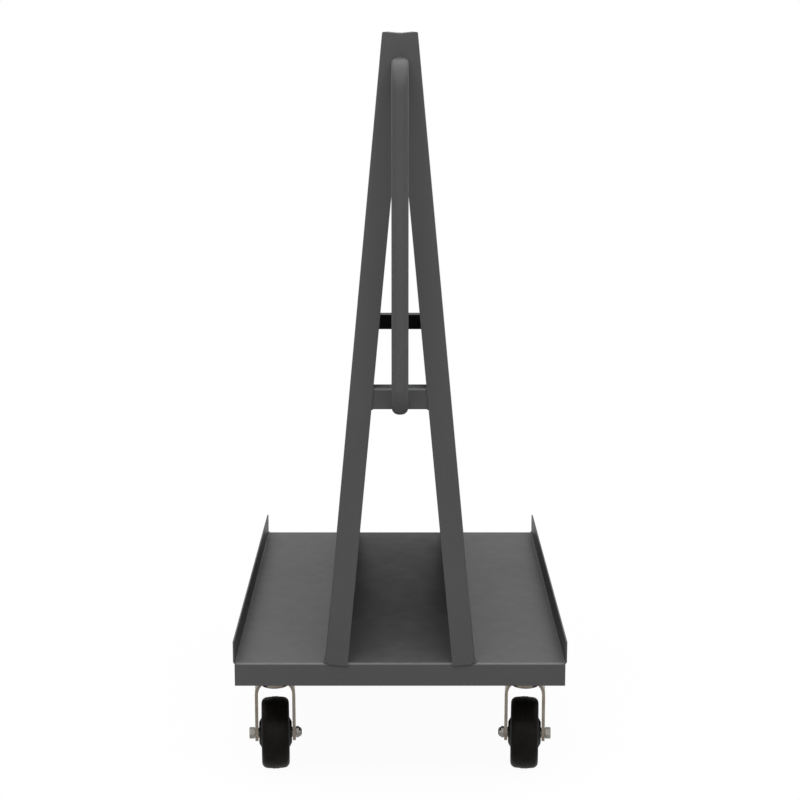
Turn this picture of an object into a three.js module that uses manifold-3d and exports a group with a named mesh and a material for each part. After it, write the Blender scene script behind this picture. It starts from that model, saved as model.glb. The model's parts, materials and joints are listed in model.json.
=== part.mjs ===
// Sheet goods cart: a formed steel deck on four casters, with two leaning side panels that
// stand along its middle as an A-frame and a tubular push handle at one end.
// Millimetres, +Z up. The handle end faces -Y, the floor is z = 0, and the origin lies on the
// floor under the middle of the whole cart.

import * as THREE from 'three';
import { mergeVertices } from 'three/addons/utils/BufferGeometryUtils.js';
import Module from 'manifold-3d';

const wasm = await Module();
wasm.setup();

// Sheet metal
const SHEET = 2.7;                 // thickness of deck, panels and cross angles
const BEND_INSIDE = 2.6;           // inside radius of every bend in sheet
const BOLSTER_SHEET = 3.4;         // thickness of the caster bolsters

// Deck pan
const DECK_WIDTH = 610;            // over the two lips
const DECK_LENGTH = 914;           // over the two aprons
const LIP_RISE = 40.4;             // lips above the deck's top face
const APRON_DROP = 44;             // aprons below the deck's top face
const APRON_RELIEF = 2.7;          // aprons end this far inside the lips' outer faces

// A-frame
const FOOT_HALF_WIDTH = 137.4;     // centre plane to a panel's outer face at the deck
const TOP_HALF_WIDTH = 30.7;       // centre plane to a panel's outer face at the top
const FRAME_HEIGHT = 1130.5;       // deck's top face to the top of the panels
const PANEL_FLANGE = 42;           // width of a panel's end flanges
const TOP_EDGE = 3;                // rounding where a panel's web turns into its top flange
const FLANGE_DROP = 2;             // end flanges below the web's foot, in front of the aprons
const CROSS_ANGLE_LEG = 38;        // both legs of the cross angles, outside
const CROSS_ANGLE_RISE = 472.4;    // deck's top face to the lower edge of the cross angles

// Push handle
const HANDLE_DIAMETER = 29.5;
const HANDLE_WALL = 2;
const HANDLE_REACH = 70.25;        // flanges' front faces to the tube's centre line
const HANDLE_ELBOW = 38;           // elbow radius at the tube's centre line
const HANDLE_TOP_DROP = 59;        // top of the A-frame to the upper leg's centre line
const HANDLE_FOOT_DROP = 5.9;      // middle of the cross angle to the lower leg's centre line

// Caster bolsters
const BOLSTER_DEPTH = 61.4;        // caster plate to the underside of the deck
const BOLSTER_MARGIN = 13;         // bolster beyond the caster plate, front and back
const BOLSTER_END = 15;            // lip's outer face to the end of a bolster

// Casters
const CASTER_INSET = 152;          // end of the deck to the middle of a caster plate
const CASTER_SIDE = 65.5;          // lip's outer face to the middle of a caster plate
const PLATE_WIDTH = 102;
const PLATE_LENGTH = 114;
const PLATE_THICKNESS = 6;
const PLATE_CORNER = 8;
const PLATE_BOLT_EDGE = 15;        // plate's edges to the middle of its bolts
const PLATE_BOLT_DIAMETER = 10;
const PLATE_BOLT_FLATS = 16;       // hexagon across flats
const PLATE_BOLT_HEAD = 5;
const PLATE_BOLT_NUT = 8;
const RACE_RADIUS = 33;            // ball race and its seat on the fork
const RACE_BORE = 20;
const RACE_HEIGHT = 6;
const RACE_SEAT = 3;               // thickness of the race's seat on the fork
const DISH_RADIUS = 27;            // pressed dish under the fork's crown
const DISH_DEPTH = 16.4;
const CROWN_GAP = 16.6;            // top of the wheel to the dish
const KING_BOLT_DIAMETER = 16;
const KING_HEAD_DIAMETER = 27;
const KING_HEAD = 5;
const KING_NUT_FLATS = 24;
const KING_NUT = 8;
const NUT_POCKET_GAP = 1.5;        // radial, king nut's corners in the dish's pocket
const SWIVEL_TRAIL = 32;           // king bolt to axle, along the rolling direction
const SWIVEL_TURN = THREE.MathUtils.degToRad(4);  // both wheels toe in towards the handle
const FORK_LEG = 5.8;              // thickness of a fork
const FORK_CORNER = 30;            // outer corner radius of a swivel fork
const RIGID_FORK_CORNER = 16;      // outer corner radius of a rigid fork
const FORK_HALF_DEPTH = 27;        // half width of the legs under the crown
const FORK_SHOULDER = 14;          // crown's top to where the legs start to taper
const FORK_END = 16;               // radius of the legs' round lower ends
const FORK_SIDE_GAP = 1.5;         // hub's end to a fork leg

// Wheels and axles
const WHEEL_DIAMETER = 136;
const TYRE_WIDTH = 52.4;
const TREAD_CROWN = 2;             // middle of the tread above its shoulders
const TREAD_SHOULDER = 11;         // radius of the tread's edges
const RIM_DIAMETER = 104;          // wheel hub inside the tyre
const RIM_EDGE = 4;                // rim's edge beside the recessed web
const WEB_RECESS = 3.2;            // wheel's web below the tyre's sides
const HUB_PROUD = 4.9;             // hub's ends beyond the tyre's sides
const HUB_END_RADIUS = 16;
const HUB_SHOULDER = 4;            // rounding at the hub's ends
const HUB_FOOT_RADIUS = 28;        // hub where it meets the web
const SLEEVE_DIAMETER = 20;
const AXLE_DIAMETER = 12.7;
const AXLE_FLATS = 19;             // hexagon across flats
const AXLE_HEAD = 11;
const AXLE_NUT = 9.8;
const AXLE_STUB = 1.5;             // axle beyond its nut

// Clearances
const SEAT_GAP = 0.3;              // pieces that rest on each other inside a turned group
const LAP_GAP = 0.1;               // panels' flanges in front of the aprons
const SEAM_GAP = 0.3;              // between the two panels where they meet
const BOLT_GAP = 0.3;              // radial, bolts in their holes
const RUNNING_GAP = 0.08;          // radial, wheel on sleeve and fork on king bolt
const CUT_PAST = 1;                // cutters beyond the faces that they cut

// Facets
const BEND_FACETS = 2;             // pairs along a quarter bend
const FORK_FACETS = 3;
const TUBE_SIDES = 16;
const BORE_SIDES = 10;             // inside of the handle's tube
const ELBOW_STEPS = 6;
const TYRE_SIDES = 28;
const HUB_SIDES = 22;
const SHAFT_SIDES = 16;
const BOLT_SIDES = 8;
const HOLE_SIDES = 12;
const SHOULDER_STEPS = 3;

// Heights, upwards from the floor
const AXLE_Z = WHEEL_DIAMETER / 2;
const DISH_Z = WHEEL_DIAMETER + CROWN_GAP;
const KING_NUT_TOP_Z = DISH_Z + KING_NUT;
const RACE_SEAT_Z = DISH_Z + DISH_DEPTH;
const CROWN_Z = RACE_SEAT_Z + RACE_SEAT;
const PLATE_Z = CROWN_Z + RACE_HEIGHT;
const BOLSTER_Z = PLATE_Z + PLATE_THICKNESS;
const DECK_UNDER_Z = BOLSTER_Z + BOLSTER_DEPTH;
const DECK_TOP_Z = DECK_UNDER_Z + SHEET;
const FRAME_TOP_Z = DECK_TOP_Z + FRAME_HEIGHT;
const CROSS_ANGLE_Z = DECK_TOP_Z + CROSS_ANGLE_RISE;

// Lengths and places that follow from the sizes above
const BEND_OUTSIDE = BEND_INSIDE + SHEET;
const DECK_END = DECK_LENGTH / 2;
const PANEL_END = DECK_END + LAP_GAP + SHEET;
const HANDLE_Y = -PANEL_END - HANDLE_REACH;
const HANDLE_FRONT = HANDLE_REACH + HANDLE_DIAMETER / 2;
const LEAN = Math.atan((FOOT_HALF_WIDTH - TOP_HALF_WIDTH) / FRAME_HEIGHT);
const PANEL_HEIGHT = FRAME_HEIGHT / Math.cos(LEAN);
const HUB_LENGTH = TYRE_WIDTH + 2 * HUB_PROUD;
const FORK_INSIDE = HUB_LENGTH + 2 * FORK_SIDE_GAP;
const FORK_HALF_WIDTH = FORK_INSIDE / 2 + FORK_LEG;
const CASTER_X = DECK_WIDTH / 2 - CASTER_SIDE;
const CASTER_Y = DECK_END - CASTER_INSET;
const BOLSTER_LENGTH = DECK_WIDTH - 2 * BOLSTER_END;
const BOLSTER_WIDTH = PLATE_LENGTH + 2 * BOLSTER_MARGIN;
const PLATE_BOLT_X = PLATE_WIDTH / 2 - PLATE_BOLT_EDGE;
const PLATE_BOLT_Y = PLATE_LENGTH / 2 - PLATE_BOLT_EDGE;

// Directions of a prism: its outline's first and second coordinate, then its length
const X = new THREE.Vector3(1, 0, 0);
const Y = new THREE.Vector3(0, 1, 0);
const Z = new THREE.Vector3(0, 0, 1);
const ALONG_X = new THREE.Matrix4().makeBasis(Y, Z, X);
const ALONG_Y = new THREE.Matrix4().makeBasis(X, Z, Y.clone().negate());
const ALONG_Z = new THREE.Matrix4().makeBasis(X, Y, Z);

// Corner radius of a regular polygon whose flats lie at the radius
function aroundFlats(radius, sides) {
  return radius / Math.cos(Math.PI / sides);
}

// Corners of a regular polygon, from its corner radius
function ring(radius, sides, centreX = 0, centreY = 0) {
  return Array.from({ length: sides }, (_, i) => {
    const angle = (2 * Math.PI * i) / sides;
    return new THREE.Vector2(centreX + radius * Math.cos(angle), centreY + radius * Math.sin(angle));
  });
}

// A closed geometry as a solid that can be joined and cut
function solid(geometry) {
  const bare = geometry.clone();
  bare.deleteAttribute('normal');
  bare.deleteAttribute('uv');
  const merged = mergeVertices(bare, 1e-4);
  const triangles = [];
  for (let i = 0; i < merged.index.count; i += 3) {
    const [a, b, c] = [0, 1, 2].map((corner) => merged.index.getX(i + corner));
    if (a !== b && b !== c && c !== a) {
      triangles.push(a, b, c);
    }
  }
  return new wasm.Manifold(new wasm.Mesh({
    numProp: 3,
    vertProperties: Float32Array.from(merged.attributes.position.array),
    triVerts: Uint32Array.from(triangles),
  }));
}

// The surface of a solid as a geometry
function surface(body) {
  const mesh = body.getMesh();
  const geometry = new THREE.BufferGeometry();
  geometry.setAttribute('position', new THREE.BufferAttribute(mesh.vertProperties, 3));
  geometry.setIndex(new THREE.BufferAttribute(mesh.triVerts, 1));
  geometry.computeVertexNormals();
  return geometry;
}

// A prism of the outline, as long as given, centred on its own middle
function prism(outline, length, direction, facets = BEND_FACETS) {
  const geometry = new THREE.ExtrudeGeometry(outline, {
    depth: length,
    bevelEnabled: false,
    curveSegments: facets,
  });
  return geometry.translate(0, 0, -length / 2).applyMatrix4(direction);
}

// A block between two corners
function block([x0, y0, z0], [x1, y1, z1]) {
  const geometry = new THREE.BoxGeometry(x1 - x0, y1 - y0, z1 - z0);
  return geometry.translate((x0 + x1) / 2, (y0 + y1) / 2, (z0 + z1) / 2);
}

// A round or hexagonal bar along Z from one height to another
function barZ(radius, low, high, sides) {
  const geometry = new THREE.CylinderGeometry(radius, radius, high - low, sides);
  return geometry.rotateX(Math.PI / 2).translate(0, 0, (low + high) / 2);
}

// The same along X
function barX(radius, low, high, sides) {
  const geometry = new THREE.CylinderGeometry(radius, radius, high - low, sides);
  return geometry.rotateZ(Math.PI / 2).translate((low + high) / 2, 0, 0);
}

// A turned shape round Y, with a flat and not an edge at its lowest place
function turned(profile, sides) {
  const points = profile.map(([radius, height]) => new THREE.Vector2(radius, height));
  return new THREE.LatheGeometry(points, sides, Math.PI / sides);
}

// Outline of a bent sheet. The path follows its outer face and turns left at each square bend.
function bentSheet(path, thickness, insideRadius = BEND_INSIDE) {
  const points = path.map(([x, y]) => new THREE.Vector2(x, y));
  const directions = points.slice(1).map((point, i) => point.clone().sub(points[i]).normalize());
  const inwards = (direction) => new THREE.Vector2(-direction.y, direction.x).multiplyScalar(thickness);
  const radius = insideRadius + thickness;
  const bends = directions.slice(1).map((after, i) => {
    const before = directions[i];
    const centre = points[i + 1].clone().addScaledVector(after, radius).addScaledVector(before, -radius);
    const from = Math.atan2(-after.y, -after.x);
    return { centre, from, to: from + Math.PI / 2 };
  });
  const last = points[points.length - 1];
  const lastInside = last.clone().add(inwards(directions[directions.length - 1]));
  const firstInside = points[0].clone().add(inwards(directions[0]));

  const outline = new THREE.Shape();
  outline.moveTo(firstInside.x, firstInside.y);
  outline.lineTo(points[0].x, points[0].y);
  for (const { centre, from, to } of bends) {
    outline.absarc(centre.x, centre.y, radius, from, to, false);
  }
  outline.lineTo(last.x, last.y);
  outline.lineTo(lastInside.x, lastInside.y);
  for (const { centre, from, to } of bends.slice().reverse()) {
    outline.absarc(centre.x, centre.y, insideRadius, to, from, true);
  }
  outline.closePath();
  return outline;
}

// Deck pan: lips along the sides and aprons at the ends, bent from one sheet
function deckPan() {
  const halfWidth = DECK_WIDTH / 2;
  const lipTop = DECK_TOP_Z + LIP_RISE;
  const apronLow = DECK_TOP_Z - APRON_DROP;
  const lips = bentSheet([
    [-halfWidth, lipTop],
    [-halfWidth, DECK_UNDER_Z],
    [halfWidth, DECK_UNDER_Z],
    [halfWidth, lipTop],
  ], SHEET);
  const aprons = bentSheet([
    [DECK_END, apronLow],
    [DECK_END, DECK_TOP_Z],
    [-DECK_END, DECK_TOP_Z],
    [-DECK_END, apronLow],
  ], SHEET);
  const flatHalfWidth = halfWidth - BEND_OUTSIDE;
  const flatEnd = DECK_END - BEND_OUTSIDE;
  const pastEnd = DECK_END + BEND_OUTSIDE;
  const frontEnd = block([-flatHalfWidth, -pastEnd, apronLow], [flatHalfWidth, -flatEnd, lipTop]);
  const rearEnd = block([-flatHalfWidth, flatEnd, apronLow], [flatHalfWidth, pastEnd, lipTop]);
  return surface(
    solid(prism(lips, DECK_LENGTH, ALONG_Y))
      .subtract(solid(frontEnd))
      .subtract(solid(rearEnd))
      .add(solid(prism(aprons, DECK_WIDTH - 2 * APRON_RELIEF, ALONG_X))),
  );
}

// Place of the left side panel: its outer face is x = 0 there, and z runs up along its slope
const panelPlace = new THREE.Matrix4()
  .makeRotationY(LEAN)
  .setPosition(-FOOT_HALF_WIDTH, 0, DECK_TOP_Z + SEAT_GAP + SHEET * Math.sin(LEAN));

// Plan outline of a panel: square at its flanges' edges, rounded where they turn into the web
function panelOutline(web, flangeEdge, end, radius) {
  const outline = new THREE.Shape();
  outline.moveTo(flangeEdge, -end);
  outline.lineTo(flangeEdge, end);
  outline.absarc(web + radius, end - radius, radius, Math.PI / 2, Math.PI, false);
  outline.absarc(web + radius, radius - end, radius, Math.PI, 1.5 * Math.PI, false);
  outline.closePath();
  return outline;
}

// Side panel: web with a flange at each end and along the top, trimmed at the centre plane
function sidePanel() {
  const outline = panelOutline(0, PANEL_FLANGE, PANEL_END, BEND_OUTSIDE);
  const hollow = panelOutline(SHEET, PANEL_FLANGE + CUT_PAST, PANEL_END - SHEET, BEND_INSIDE);
  const length = PANEL_HEIGHT + FLANGE_DROP;
  const middle = PANEL_HEIGHT - length / 2;
  const underWeb = block(
    [-CUT_PAST, -2 * PANEL_END, -FLANGE_DROP - CUT_PAST],
    [BEND_OUTSIDE + CUT_PAST, 2 * PANEL_END, 0],
  );
  const pastEdge = new THREE.Shape();
  pastEdge.moveTo(-CUT_PAST, PANEL_HEIGHT + CUT_PAST);
  pastEdge.lineTo(-CUT_PAST, PANEL_HEIGHT - TOP_EDGE);
  pastEdge.absarc(TOP_EDGE, PANEL_HEIGHT - TOP_EDGE, TOP_EDGE, Math.PI, Math.PI / 2, true);
  pastEdge.lineTo(TOP_EDGE, PANEL_HEIGHT + CUT_PAST);
  pastEdge.closePath();
  const otherSide = block(
    [-SEAM_GAP / 2, -2 * PANEL_END, 0],
    [2 * FOOT_HALF_WIDTH, 2 * PANEL_END, 2 * FRAME_TOP_Z],
  ).applyMatrix4(panelPlace.clone().invert());
  return surface(
    solid(prism(outline, length, ALONG_Z).translate(0, 0, middle))
      .subtract(solid(prism(hollow, length, ALONG_Z).translate(0, 0, middle - SHEET)))
      .subtract(solid(underWeb))
      .subtract(solid(prism(pastEdge, 4 * PANEL_END, ALONG_Y)))
      .subtract(solid(otherSide)),
  );
}

// Cross angle at the handle end: one leg upright behind the panels' flanges, one flat on top
function crossAngle() {
  const top = CROSS_ANGLE_Z + CROSS_ANGLE_LEG;
  const section = bentSheet([
    [CROSS_ANGLE_LEG - DECK_END, top],
    [-DECK_END, top],
    [-DECK_END, CROSS_ANGLE_Z],
  ], SHEET);
  const pastPanel = block(
    [-FOOT_HALF_WIDTH, -2 * DECK_END, 0],
    [SHEET + BEND_INSIDE + SEAT_GAP, 2 * DECK_END, PANEL_HEIGHT],
  ).applyMatrix4(panelPlace);
  return surface(
    solid(prism(section, 2 * FOOT_HALF_WIDTH, ALONG_X))
      .subtract(solid(pastPanel))
      .subtract(solid(pastPanel.clone().rotateZ(Math.PI))),
  );
}

// A path through given stations, sampled at the stations themselves
class StationPath extends THREE.Curve {
  constructor(stations) {
    super();
    this.stations = stations;
  }

  station(u) {
    return this.stations[Math.round(u * (this.stations.length - 1))];
  }

  getPointAt(u) {
    return this.station(u).point.clone();
  }

  getTangentAt(u) {
    return this.station(u).tangent.clone();
  }
}

// Push handle: a tube with two elbows, from the joined flanges down to the cross angle
function pushHandle() {
  const upperZ = FRAME_TOP_Z - HANDLE_TOP_DROP;
  const lowerZ = CROSS_ANGLE_Z + CROSS_ANGLE_LEG / 2 - HANDLE_FOOT_DROP;
  const elbowY = HANDLE_Y + HANDLE_ELBOW;
  const stations = [];
  const addStation = (y, z, along) => {
    stations.push({
      point: new THREE.Vector3(0, y, z),
      tangent: new THREE.Vector3(0, -Math.cos(along), -Math.sin(along)),
    });
  };
  addStation(-PANEL_END - SEAT_GAP, upperZ, 0);
  for (const [centreZ, start] of [[upperZ - HANDLE_ELBOW, 0], [lowerZ + HANDLE_ELBOW, Math.PI / 2]]) {
    for (let step = 0; step <= ELBOW_STEPS; step += 1) {
      const along = start + (Math.PI / 2) * (step / ELBOW_STEPS);
      addStation(elbowY - HANDLE_ELBOW * Math.sin(along), centreZ + HANDLE_ELBOW * Math.cos(along), along);
    }
  }
  addStation(-DECK_END, lowerZ, Math.PI);

  const section = new THREE.Shape(ring(HANDLE_DIAMETER / 2, TUBE_SIDES));
  section.holes.push(new THREE.Path(ring(HANDLE_DIAMETER / 2 - HANDLE_WALL, BORE_SIDES)));
  return new THREE.ExtrudeGeometry(section, {
    steps: stations.length - 1,
    bevelEnabled: false,
    extrudePath: new StationPath(stations),
  });
}

const KING_NUT_CORNER = aroundFlats(KING_NUT_FLATS / 2, 6);

// The four places of a caster plate's bolts, from the plate's middle
const plateBoltPlaces = [[-1, -1], [1, -1], [1, 1], [-1, 1]].map(
  ([side, end]) => [side * PLATE_BOLT_X, end * PLATE_BOLT_Y],
);

// Bolster: a channel with its open side against the deck, drilled for two caster plates
function bolster(kingHoles) {
  const section = bentSheet([
    [-BOLSTER_WIDTH / 2, DECK_UNDER_Z],
    [-BOLSTER_WIDTH / 2, BOLSTER_Z],
    [BOLSTER_WIDTH / 2, BOLSTER_Z],
    [BOLSTER_WIDTH / 2, DECK_UNDER_Z],
  ], BOLSTER_SHEET);
  const low = BOLSTER_Z - BOLSTER_SHEET;
  const high = BOLSTER_Z + 2 * BOLSTER_SHEET;
  const boltHole = barZ(aroundFlats(PLATE_BOLT_DIAMETER / 2 + BOLT_GAP, HOLE_SIDES), low, high, HOLE_SIDES);
  const kingHole = barZ(KING_HEAD_DIAMETER / 2 + BOLSTER_SHEET, low, high, SHAFT_SIDES);
  let body = solid(prism(section, BOLSTER_LENGTH, ALONG_X));
  for (const casterX of [-CASTER_X, CASTER_X]) {
    for (const [x, y] of plateBoltPlaces) {
      body = body.subtract(solid(boltHole.clone().translate(casterX + x, y, 0)));
    }
    if (kingHoles) {
      body = body.subtract(solid(kingHole.clone().translate(casterX, 0, 0)));
    }
  }
  return surface(body);
}

// Outline of a caster plate with its bolt holes
function plateOutline() {
  const outline = new THREE.Shape();
  const x = PLATE_WIDTH / 2 - PLATE_CORNER;
  const y = PLATE_LENGTH / 2 - PLATE_CORNER;
  outline.absarc(x, y, PLATE_CORNER, 0, Math.PI / 2, false);
  outline.absarc(-x, y, PLATE_CORNER, Math.PI / 2, Math.PI, false);
  outline.absarc(-x, -y, PLATE_CORNER, Math.PI, 1.5 * Math.PI, false);
  outline.absarc(x, -y, PLATE_CORNER, 1.5 * Math.PI, 2 * Math.PI, false);
  outline.closePath();
  const holeRadius = aroundFlats(PLATE_BOLT_DIAMETER / 2 + BOLT_GAP, HOLE_SIDES);
  for (const [boltX, boltY] of plateBoltPlaces) {
    outline.holes.push(new THREE.Path(ring(holeRadius, HOLE_SIDES, boltX, boltY)));
  }
  return outline;
}

// Plate at its height, solid in the middle
function plateSolid() {
  const plate = prism(plateOutline(), PLATE_THICKNESS, ALONG_Z);
  return solid(plate.translate(0, 0, PLATE_Z + PLATE_THICKNESS / 2));
}

// Top plate of a swivel caster, with the king bolt's hole
function topPlate() {
  const radius = aroundFlats(KING_BOLT_DIAMETER / 2 + BOLT_GAP, SHAFT_SIDES);
  const hole = barZ(radius, PLATE_Z - CUT_PAST, BOLSTER_Z + CUT_PAST, SHAFT_SIDES);
  return surface(plateSolid().subtract(solid(hole)));
}

// Bolt through plate and bolster: head below the plate, nut above the bolster's web
function plateBolt() {
  const hexagon = aroundFlats(PLATE_BOLT_FLATS / 2, 6);
  const nutLow = BOLSTER_Z + BOLSTER_SHEET;
  const nutHigh = nutLow + PLATE_BOLT_NUT;
  const middle = PLATE_Z - PLATE_BOLT_HEAD / 2;
  return surface(
    solid(barZ(hexagon, PLATE_Z - PLATE_BOLT_HEAD, PLATE_Z, 6))
      .add(solid(barZ(PLATE_BOLT_DIAMETER / 2, middle, nutHigh + PLATE_BOLT_DIAMETER / 4, BOLT_SIDES)))
      .add(solid(barZ(hexagon, nutLow, nutHigh, 6))),
  );
}

// King bolt: round head on the plate, shank down through the fork to its nut
function kingBolt() {
  return turned([
    [0, DISH_Z],
    [KING_BOLT_DIAMETER / 2, DISH_Z],
    [KING_BOLT_DIAMETER / 2, BOLSTER_Z],
    [KING_HEAD_DIAMETER / 2, BOLSTER_Z],
    [KING_HEAD_DIAMETER / 2, BOLSTER_Z + KING_HEAD / 2],
    [KING_HEAD_DIAMETER / 2 - KING_HEAD / 2, BOLSTER_Z + KING_HEAD],
    [0, BOLSTER_Z + KING_HEAD],
  ], SHAFT_SIDES).rotateX(Math.PI / 2);
}

// King nut, sunk in the dish so that its lower face is level with the dish's rim
function kingNut() {
  const bore = aroundFlats(KING_BOLT_DIAMETER / 2 + RUNNING_GAP, SHAFT_SIDES);
  return surface(
    solid(barZ(KING_NUT_CORNER, DISH_Z, KING_NUT_TOP_Z, 6))
      .subtract(solid(barZ(bore, DISH_Z - CUT_PAST, KING_NUT_TOP_Z + CUT_PAST, SHAFT_SIDES))),
  );
}

// Ball race between plate and fork, waisted where its two halves meet
function ballRace() {
  const low = CROWN_Z + SEAT_GAP;
  const high = PLATE_Z - SEAT_GAP;
  return turned([
    [RACE_BORE, low],
    [RACE_RADIUS, low],
    [RACE_RADIUS - RACE_HEIGHT / 6, (low + high) / 2],
    [RACE_RADIUS, high],
    [RACE_BORE, high],
    [RACE_BORE, low],
  ], HUB_SIDES).rotateX(Math.PI / 2);
}

// Legs of a fork, bent from one plate, with its round lower ends at the axle
function forkLegs(top, corner, axleY) {
  const low = AXLE_Z - 2 * FORK_END;
  const frontView = bentSheet([
    [FORK_HALF_WIDTH, low],
    [FORK_HALF_WIDTH, top],
    [-FORK_HALF_WIDTH, top],
    [-FORK_HALF_WIDTH, low],
  ], FORK_LEG, corner - FORK_LEG);
  const sideView = new THREE.Shape();
  sideView.moveTo(FORK_HALF_DEPTH, top + CUT_PAST);
  sideView.lineTo(-FORK_HALF_DEPTH, top + CUT_PAST);
  sideView.lineTo(-FORK_HALF_DEPTH, top - FORK_SHOULDER);
  sideView.absarc(axleY, AXLE_Z, FORK_END, Math.PI, 2 * Math.PI, false);
  sideView.lineTo(FORK_HALF_DEPTH, top - FORK_SHOULDER);
  sideView.closePath();
  const depth = 4 * (FORK_HALF_DEPTH + FORK_END + Math.abs(axleY));
  const axleHole = aroundFlats(AXLE_DIAMETER / 2 + BOLT_GAP, HOLE_SIDES);
  const pastLegs = 2 * FORK_HALF_WIDTH;
  return solid(prism(frontView, depth, ALONG_Y, FORK_FACETS))
    .intersect(solid(prism(sideView, 4 * FORK_HALF_WIDTH, ALONG_X, FORK_FACETS)))
    .subtract(solid(barX(axleHole, -pastLegs, pastLegs, HOLE_SIDES).translate(0, axleY, AXLE_Z)));
}

// Swivel fork: legs under a crown with the race's seat on top, and below it a pressed dish
// with a pocket for the king nut
function swivelFork() {
  const crown = turned([
    [0, DISH_Z],
    [DISH_RADIUS, DISH_Z],
    [DISH_RADIUS, RACE_SEAT_Z],
    [RACE_RADIUS, RACE_SEAT_Z],
    [RACE_RADIUS, CROWN_Z],
    [0, CROWN_Z],
  ], HUB_SIDES).rotateX(Math.PI / 2);
  const bore = aroundFlats(KING_BOLT_DIAMETER / 2 + RUNNING_GAP, SHAFT_SIDES);
  const pocket = aroundFlats(KING_NUT_CORNER + NUT_POCKET_GAP, SHAFT_SIDES);
  return surface(
    forkLegs(CROWN_Z, FORK_CORNER, -SWIVEL_TRAIL)
      .add(solid(crown))
      .subtract(solid(barZ(bore, DISH_Z - CUT_PAST, CROWN_Z + CUT_PAST, SHAFT_SIDES)))
      .subtract(solid(barZ(pocket, DISH_Z - CUT_PAST, KING_NUT_TOP_Z + SEAT_GAP, SHAFT_SIDES))),
  );
}

// Rigid fork: the same legs welded to the plate itself
function rigidFork() {
  return surface(forkLegs(PLATE_Z + PLATE_THICKNESS / 2, RIGID_FORK_CORNER, 0).add(plateSolid()));
}

// Axle bolt: hexagon head on the leg at negative x, shank through to the nut
function axleBolt() {
  const headInner = -FORK_HALF_WIDTH - SEAT_GAP;
  const headOuter = headInner - AXLE_HEAD;
  const end = FORK_HALF_WIDTH + SEAT_GAP + AXLE_NUT + AXLE_STUB;
  return surface(
    solid(barX(aroundFlats(AXLE_FLATS / 2, 6), headOuter, headInner, 6))
      .add(solid(barX(AXLE_DIAMETER / 2, headInner - AXLE_HEAD / 2, end, HOLE_SIDES))),
  );
}

function axleNut() {
  const low = FORK_HALF_WIDTH + SEAT_GAP;
  const bore = aroundFlats(AXLE_DIAMETER / 2 + BOLT_GAP, HOLE_SIDES);
  return surface(
    solid(barX(aroundFlats(AXLE_FLATS / 2, 6), low, low + AXLE_NUT, 6))
      .subtract(solid(barX(bore, low - CUT_PAST, low + AXLE_NUT + CUT_PAST, HOLE_SIDES))),
  );
}

// Turned about the wheel's axle, along X
function aboutAxle(geometry) {
  return geometry.rotateZ(-Math.PI / 2);
}

function axleSleeve() {
  const half = FORK_INSIDE / 2 - SEAT_GAP;
  const bore = aroundFlats(AXLE_DIAMETER / 2 + BOLT_GAP, SHAFT_SIDES);
  return aboutAxle(turned([
    [bore, -half],
    [SLEEVE_DIAMETER / 2, -half],
    [SLEEVE_DIAMETER / 2, half],
    [bore, half],
    [bore, -half],
  ], SHAFT_SIDES));
}

// A wheel's whole outline, from the half at positive heights, innermost point first
function bothHalves(half, middle = []) {
  const mirrored = half.map(([radius, height]) => [radius, -height]);
  return [...mirrored, ...middle, ...half.slice().reverse(), mirrored[0]];
}

// Wheel hub: bearing barrel with rounded ends, a recessed web and the rim
function wheelHub() {
  const bore = aroundFlats(SLEEVE_DIAMETER / 2 + RUNNING_GAP, HUB_SIDES);
  const side = TYRE_WIDTH / 2;
  const rim = RIM_DIAMETER / 2;
  return aboutAxle(turned(bothHalves([
    [bore, HUB_LENGTH / 2],
    [HUB_END_RADIUS, HUB_LENGTH / 2],
    [HUB_END_RADIUS + HUB_SHOULDER, HUB_LENGTH / 2 - HUB_SHOULDER / 3],
    [HUB_FOOT_RADIUS, side - WEB_RECESS],
    [rim - RIM_EDGE - WEB_RECESS, side - WEB_RECESS],
    [rim - RIM_EDGE, side],
    [rim, side],
  ]), HUB_SIDES));
}

// Tyre: flat sides, round shoulders and a slightly crowned tread
function tyre() {
  const side = TYRE_WIDTH / 2;
  const inner = aroundFlats(RIM_DIAMETER / 2 + SEAT_GAP, TYRE_SIDES);
  const shoulderRadius = WHEEL_DIAMETER / 2 - TREAD_CROWN - TREAD_SHOULDER;
  const half = [[inner, side]];
  for (let step = 0; step <= SHOULDER_STEPS; step += 1) {
    const angle = (Math.PI / 2) * (step / SHOULDER_STEPS);
    const radius = shoulderRadius + TREAD_SHOULDER * Math.sin(angle);
    const height = side - TREAD_SHOULDER * (1 - Math.cos(angle));
    half.push([aroundFlats(radius, TYRE_SIDES), height]);
  }
  const crown = [aroundFlats(WHEEL_DIAMETER / 2, TYRE_SIDES), 0];
  return aboutAxle(turned(bothHalves(half, [crown]), TYRE_SIDES));
}

// Finishes
const paint = { color: 0x4e4e50, roughness: 0.5, metalness: 0.2 };
const zinc = { color: 0xb3aa9b, roughness: 0.35, metalness: 0.9 };
const rubber = { color: 0x161412, roughness: 0.7, metalness: 0 };
const blackPlastic = { color: 0x1c1b1a, roughness: 0.5, metalness: 0 };

// Adds a named piece to a group
function addPiece(parent, name, geometry, finish) {
  const mesh = new THREE.Mesh(geometry, new THREE.MeshStandardMaterial(finish));
  mesh.name = name;
  parent.add(mesh);
  return mesh;
}

function addGroup(parent) {
  const group = new THREE.Group();
  parent.add(group);
  return group;
}

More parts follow.
